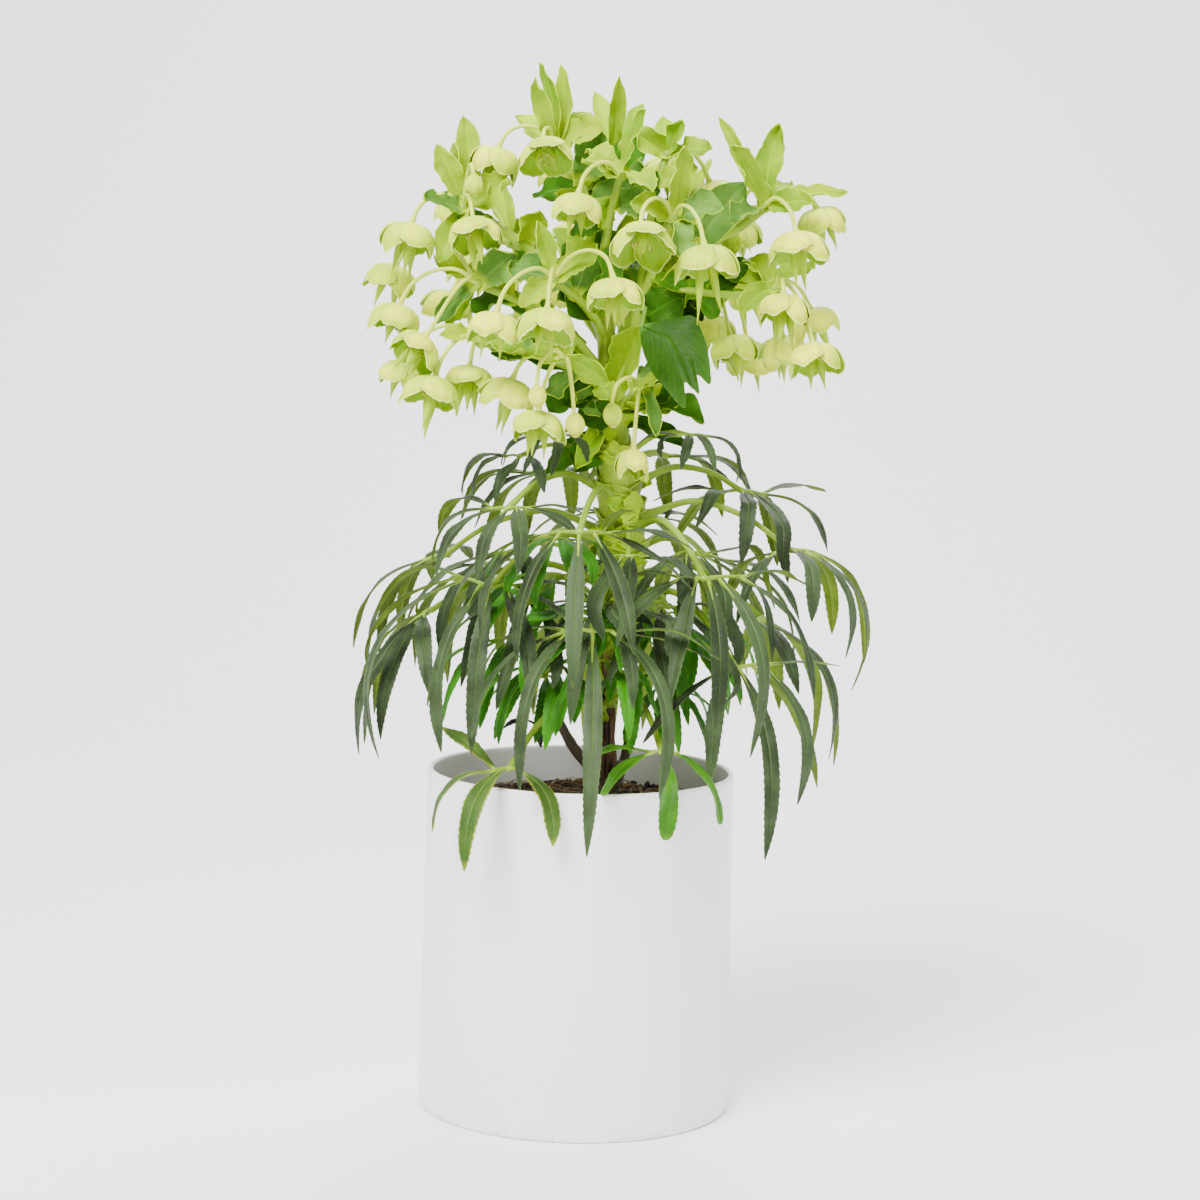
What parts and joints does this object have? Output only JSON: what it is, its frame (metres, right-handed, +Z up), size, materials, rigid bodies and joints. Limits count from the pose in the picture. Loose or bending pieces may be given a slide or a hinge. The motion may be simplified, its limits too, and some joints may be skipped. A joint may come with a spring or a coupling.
{
  "type": "potted hellebore plant",
  "caption": "Potted hellebore in bloom: nodding pale green bells over narrow, drooping dark leaves on a thick stem, in a tall plain white cylinder pot.",
  "frame": {"origin": "centre of the flat foot of the pot, on the surface it stands on", "axes": "+Z up along the pot, -Y towards the viewer of the picture, +X to the viewer's right"},
  "size_m": [0.306, 0.2804, 0.609],
  "materials": {
    "pot": "smooth, slightly glossy white glaze",
    "soil": "rough, fibrous, dry",
    "stem": "waxy, smooth",
    "leaf": "leathery, matte",
    "leaf_young": "soft, satin",
    "bell": "soft, matte",
    "bract_dark": "leathery, satin"
  },
  "bodies": {
    "root": {"pot": "pot", "soil": "soil", "stem": "stem", "leaf_back_high": "leaf", "leaf_back_left": "leaf", "leaf_back_low": "leaf", "leaf_back_right": "leaf", "leaf_front_high": "leaf", "leaf_front_low": "leaf", "leaf_left_back": "leaf", "leaf_left_back_high": "leaf", "leaf_left_front": "leaf", "leaf_left_high": "leaf", "leaf_left_low": "leaf", "leaf_right_back_high": "leaf", "leaf_right_back_low": "leaf", "leaf_right_far": "leaf", "leaf_right_front": "leaf", "leaf_right_high": "leaf", "leaf_right_low": "leaf", "leaf_rim_left": "leaf_young", "leaf_rim_right": "leaf_young", "leaf_young_left": "leaf_young", "leaf_young_right": "leaf_young", "spray_back": "bell", "spray_back_left": "bell", "spray_back_right": "bell", "spray_foot": "bell", "spray_front_left": "bell", "spray_front_low": "bell", "spray_front_top": "bell", "spray_left": "bell", "spray_left_foot": "bell", "spray_left_mid": "bell", "spray_right": "bell", "spray_right_back": "bell", "spray_right_front": "bell", "spray_right_low": "bell", "spray_right_top": "bell", "spray_top_back": "bell", "spray_top_left": "bell", "bract_dark": "bract_dark"}
  },
  "joints": []
}
